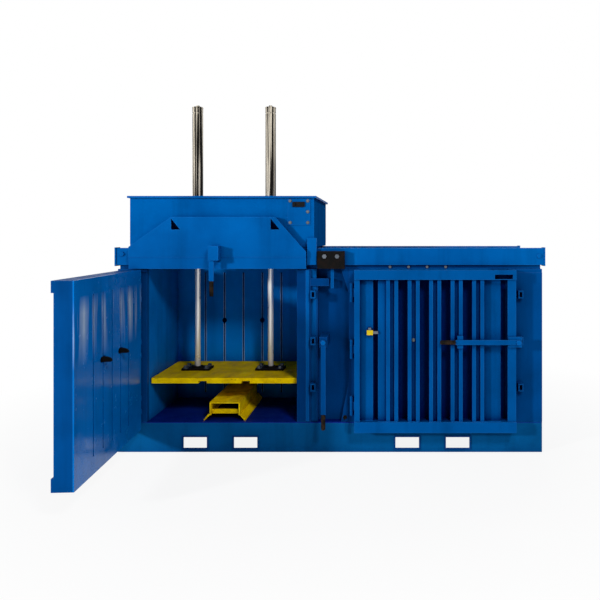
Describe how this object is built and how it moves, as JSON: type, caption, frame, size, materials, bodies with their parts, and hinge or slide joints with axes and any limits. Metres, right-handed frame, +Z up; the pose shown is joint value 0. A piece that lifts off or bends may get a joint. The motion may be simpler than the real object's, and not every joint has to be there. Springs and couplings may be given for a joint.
{
  "type": "twin-chamber roll-on roll-off compactor",
  "caption": "Twin-chamber waste compactor on a fork-pocket base: a press head on rails drives a platen on hydraulic rods into a chamber closed by a hinged door.",
  "frame": {"origin": "centre of the underside of the base frame, on the ground", "axes": "+X to the right along the front, +Y from the front to the back, +Z up"},
  "size_m": [4.304, 2.977, 3.569],
  "materials": {
    "blue_paint": "semi-gloss",
    "yellow_paint": "semi-gloss",
    "yellow_plastic": "satin",
    "bright_steel": "satin",
    "chrome_rod": "polished",
    "dark_iron": "satin",
    "black_rubber": "matt",
    "black_plastic": "matt"
  },
  "bodies": {
    "frame": {"base_frame": "blue_paint", "floor_joists": "blue_paint", "rail_end_bolts": "blue_paint", "pivot_nuts": "blue_paint", "floor_plate": "blue_paint", "back_wall_sheet": "blue_paint", "back_channels": "blue_paint", "front_posts": "blue_paint", "rear_posts": "blue_paint", "end_walls": "blue_paint", "centre_walls": "blue_paint", "centre_front": "blue_paint", "top_frame": "blue_paint", "rails": "blue_paint", "rail_ends": "blue_paint", "guide_bar": "blue_paint", "hinge_brackets": "blue_paint", "keepers": "blue_paint", "head_box": "blue_paint", "head_top": "blue_paint", "apron": "blue_paint", "head_leg": "blue_paint", "head_cover": "blue_paint", "barrel_collars": "blue_paint", "lever_bracket": "blue_paint", "lock_hub": "blue_paint", "ejector": "yellow_paint", "rail_bolts": "bright_steel", "stop_bolts": "bright_steel", "cover_bolts": "bright_steel", "barrels": "bright_steel", "barrel_caps": "bright_steel", "hinge_pins": "bright_steel", "stop_block": "dark_iron", "wheelsets": "dark_iron", "rod_glands": "dark_iron", "fork_frames": "dark_iron", "cover_slot": "black_plastic"},
    "platen_body": {"platen": "yellow_paint", "rods": "chrome_rod", "pistons": "dark_iron", "rod_flanges": "dark_iron", "flange_bolts": "bright_steel"},
    "left_door": {"left_door_frame": "blue_paint", "left_door_skin": "blue_paint", "left_door_ribs": "blue_paint"},
    "right_door": {"right_door_frame": "blue_paint", "right_door_skin": "blue_paint", "right_door_ribs": "blue_paint", "switch_body": "yellow_plastic", "switch_key": "bright_steel", "right_lever_mount": "blue_paint", "right_nut": "blue_paint"},
    "left_latch": {"left_lever": "blue_paint", "left_grip": "black_rubber"},
    "right_latch": {"right_lever": "blue_paint", "right_grip": "black_rubber"},
    "head_lock": {"lock_lever": "blue_paint", "lock_grip": "black_rubber"}
  },
  "joints": [
    {"name": "platen_press", "type": "slide", "parent": "frame", "child": "platen_body", "axis": [0, 0, 1], "range_m": [-0.15, 1.09]},
    {"name": "left_door_swing", "type": "hinge", "parent": "frame", "child": "left_door", "pos_m": [-1.8999, -0.69, 0.42], "axis": [0, 0, 1], "range_deg": [-15, 70]},
    {"name": "right_door_swing", "type": "hinge", "parent": "frame", "child": "right_door", "pos_m": [0.2201, -0.69, 0.42], "axis": [0, 0, 1], "range_deg": [-100, 0]},
    {"name": "left_latch_turn", "type": "hinge", "parent": "frame", "child": "left_latch", "pos_m": [-0.0486, -0.859, 1.12773], "axis": [0, 1, 0], "range_deg": [0, 90]},
    {"name": "right_latch_turn", "type": "hinge", "parent": "right_door", "child": "right_latch", "pos_m": [1.84407, -0.859, 1.12773], "axis": [0, 1, 0], "range_deg": [-90, 0]},
    {"name": "head_lock_turn", "type": "hinge", "parent": "frame", "child": "head_lock", "pos_m": [-1.1424, -0.824, 1.99], "axis": [0, 1, 0], "range_deg": [0, 110]}
  ]
}
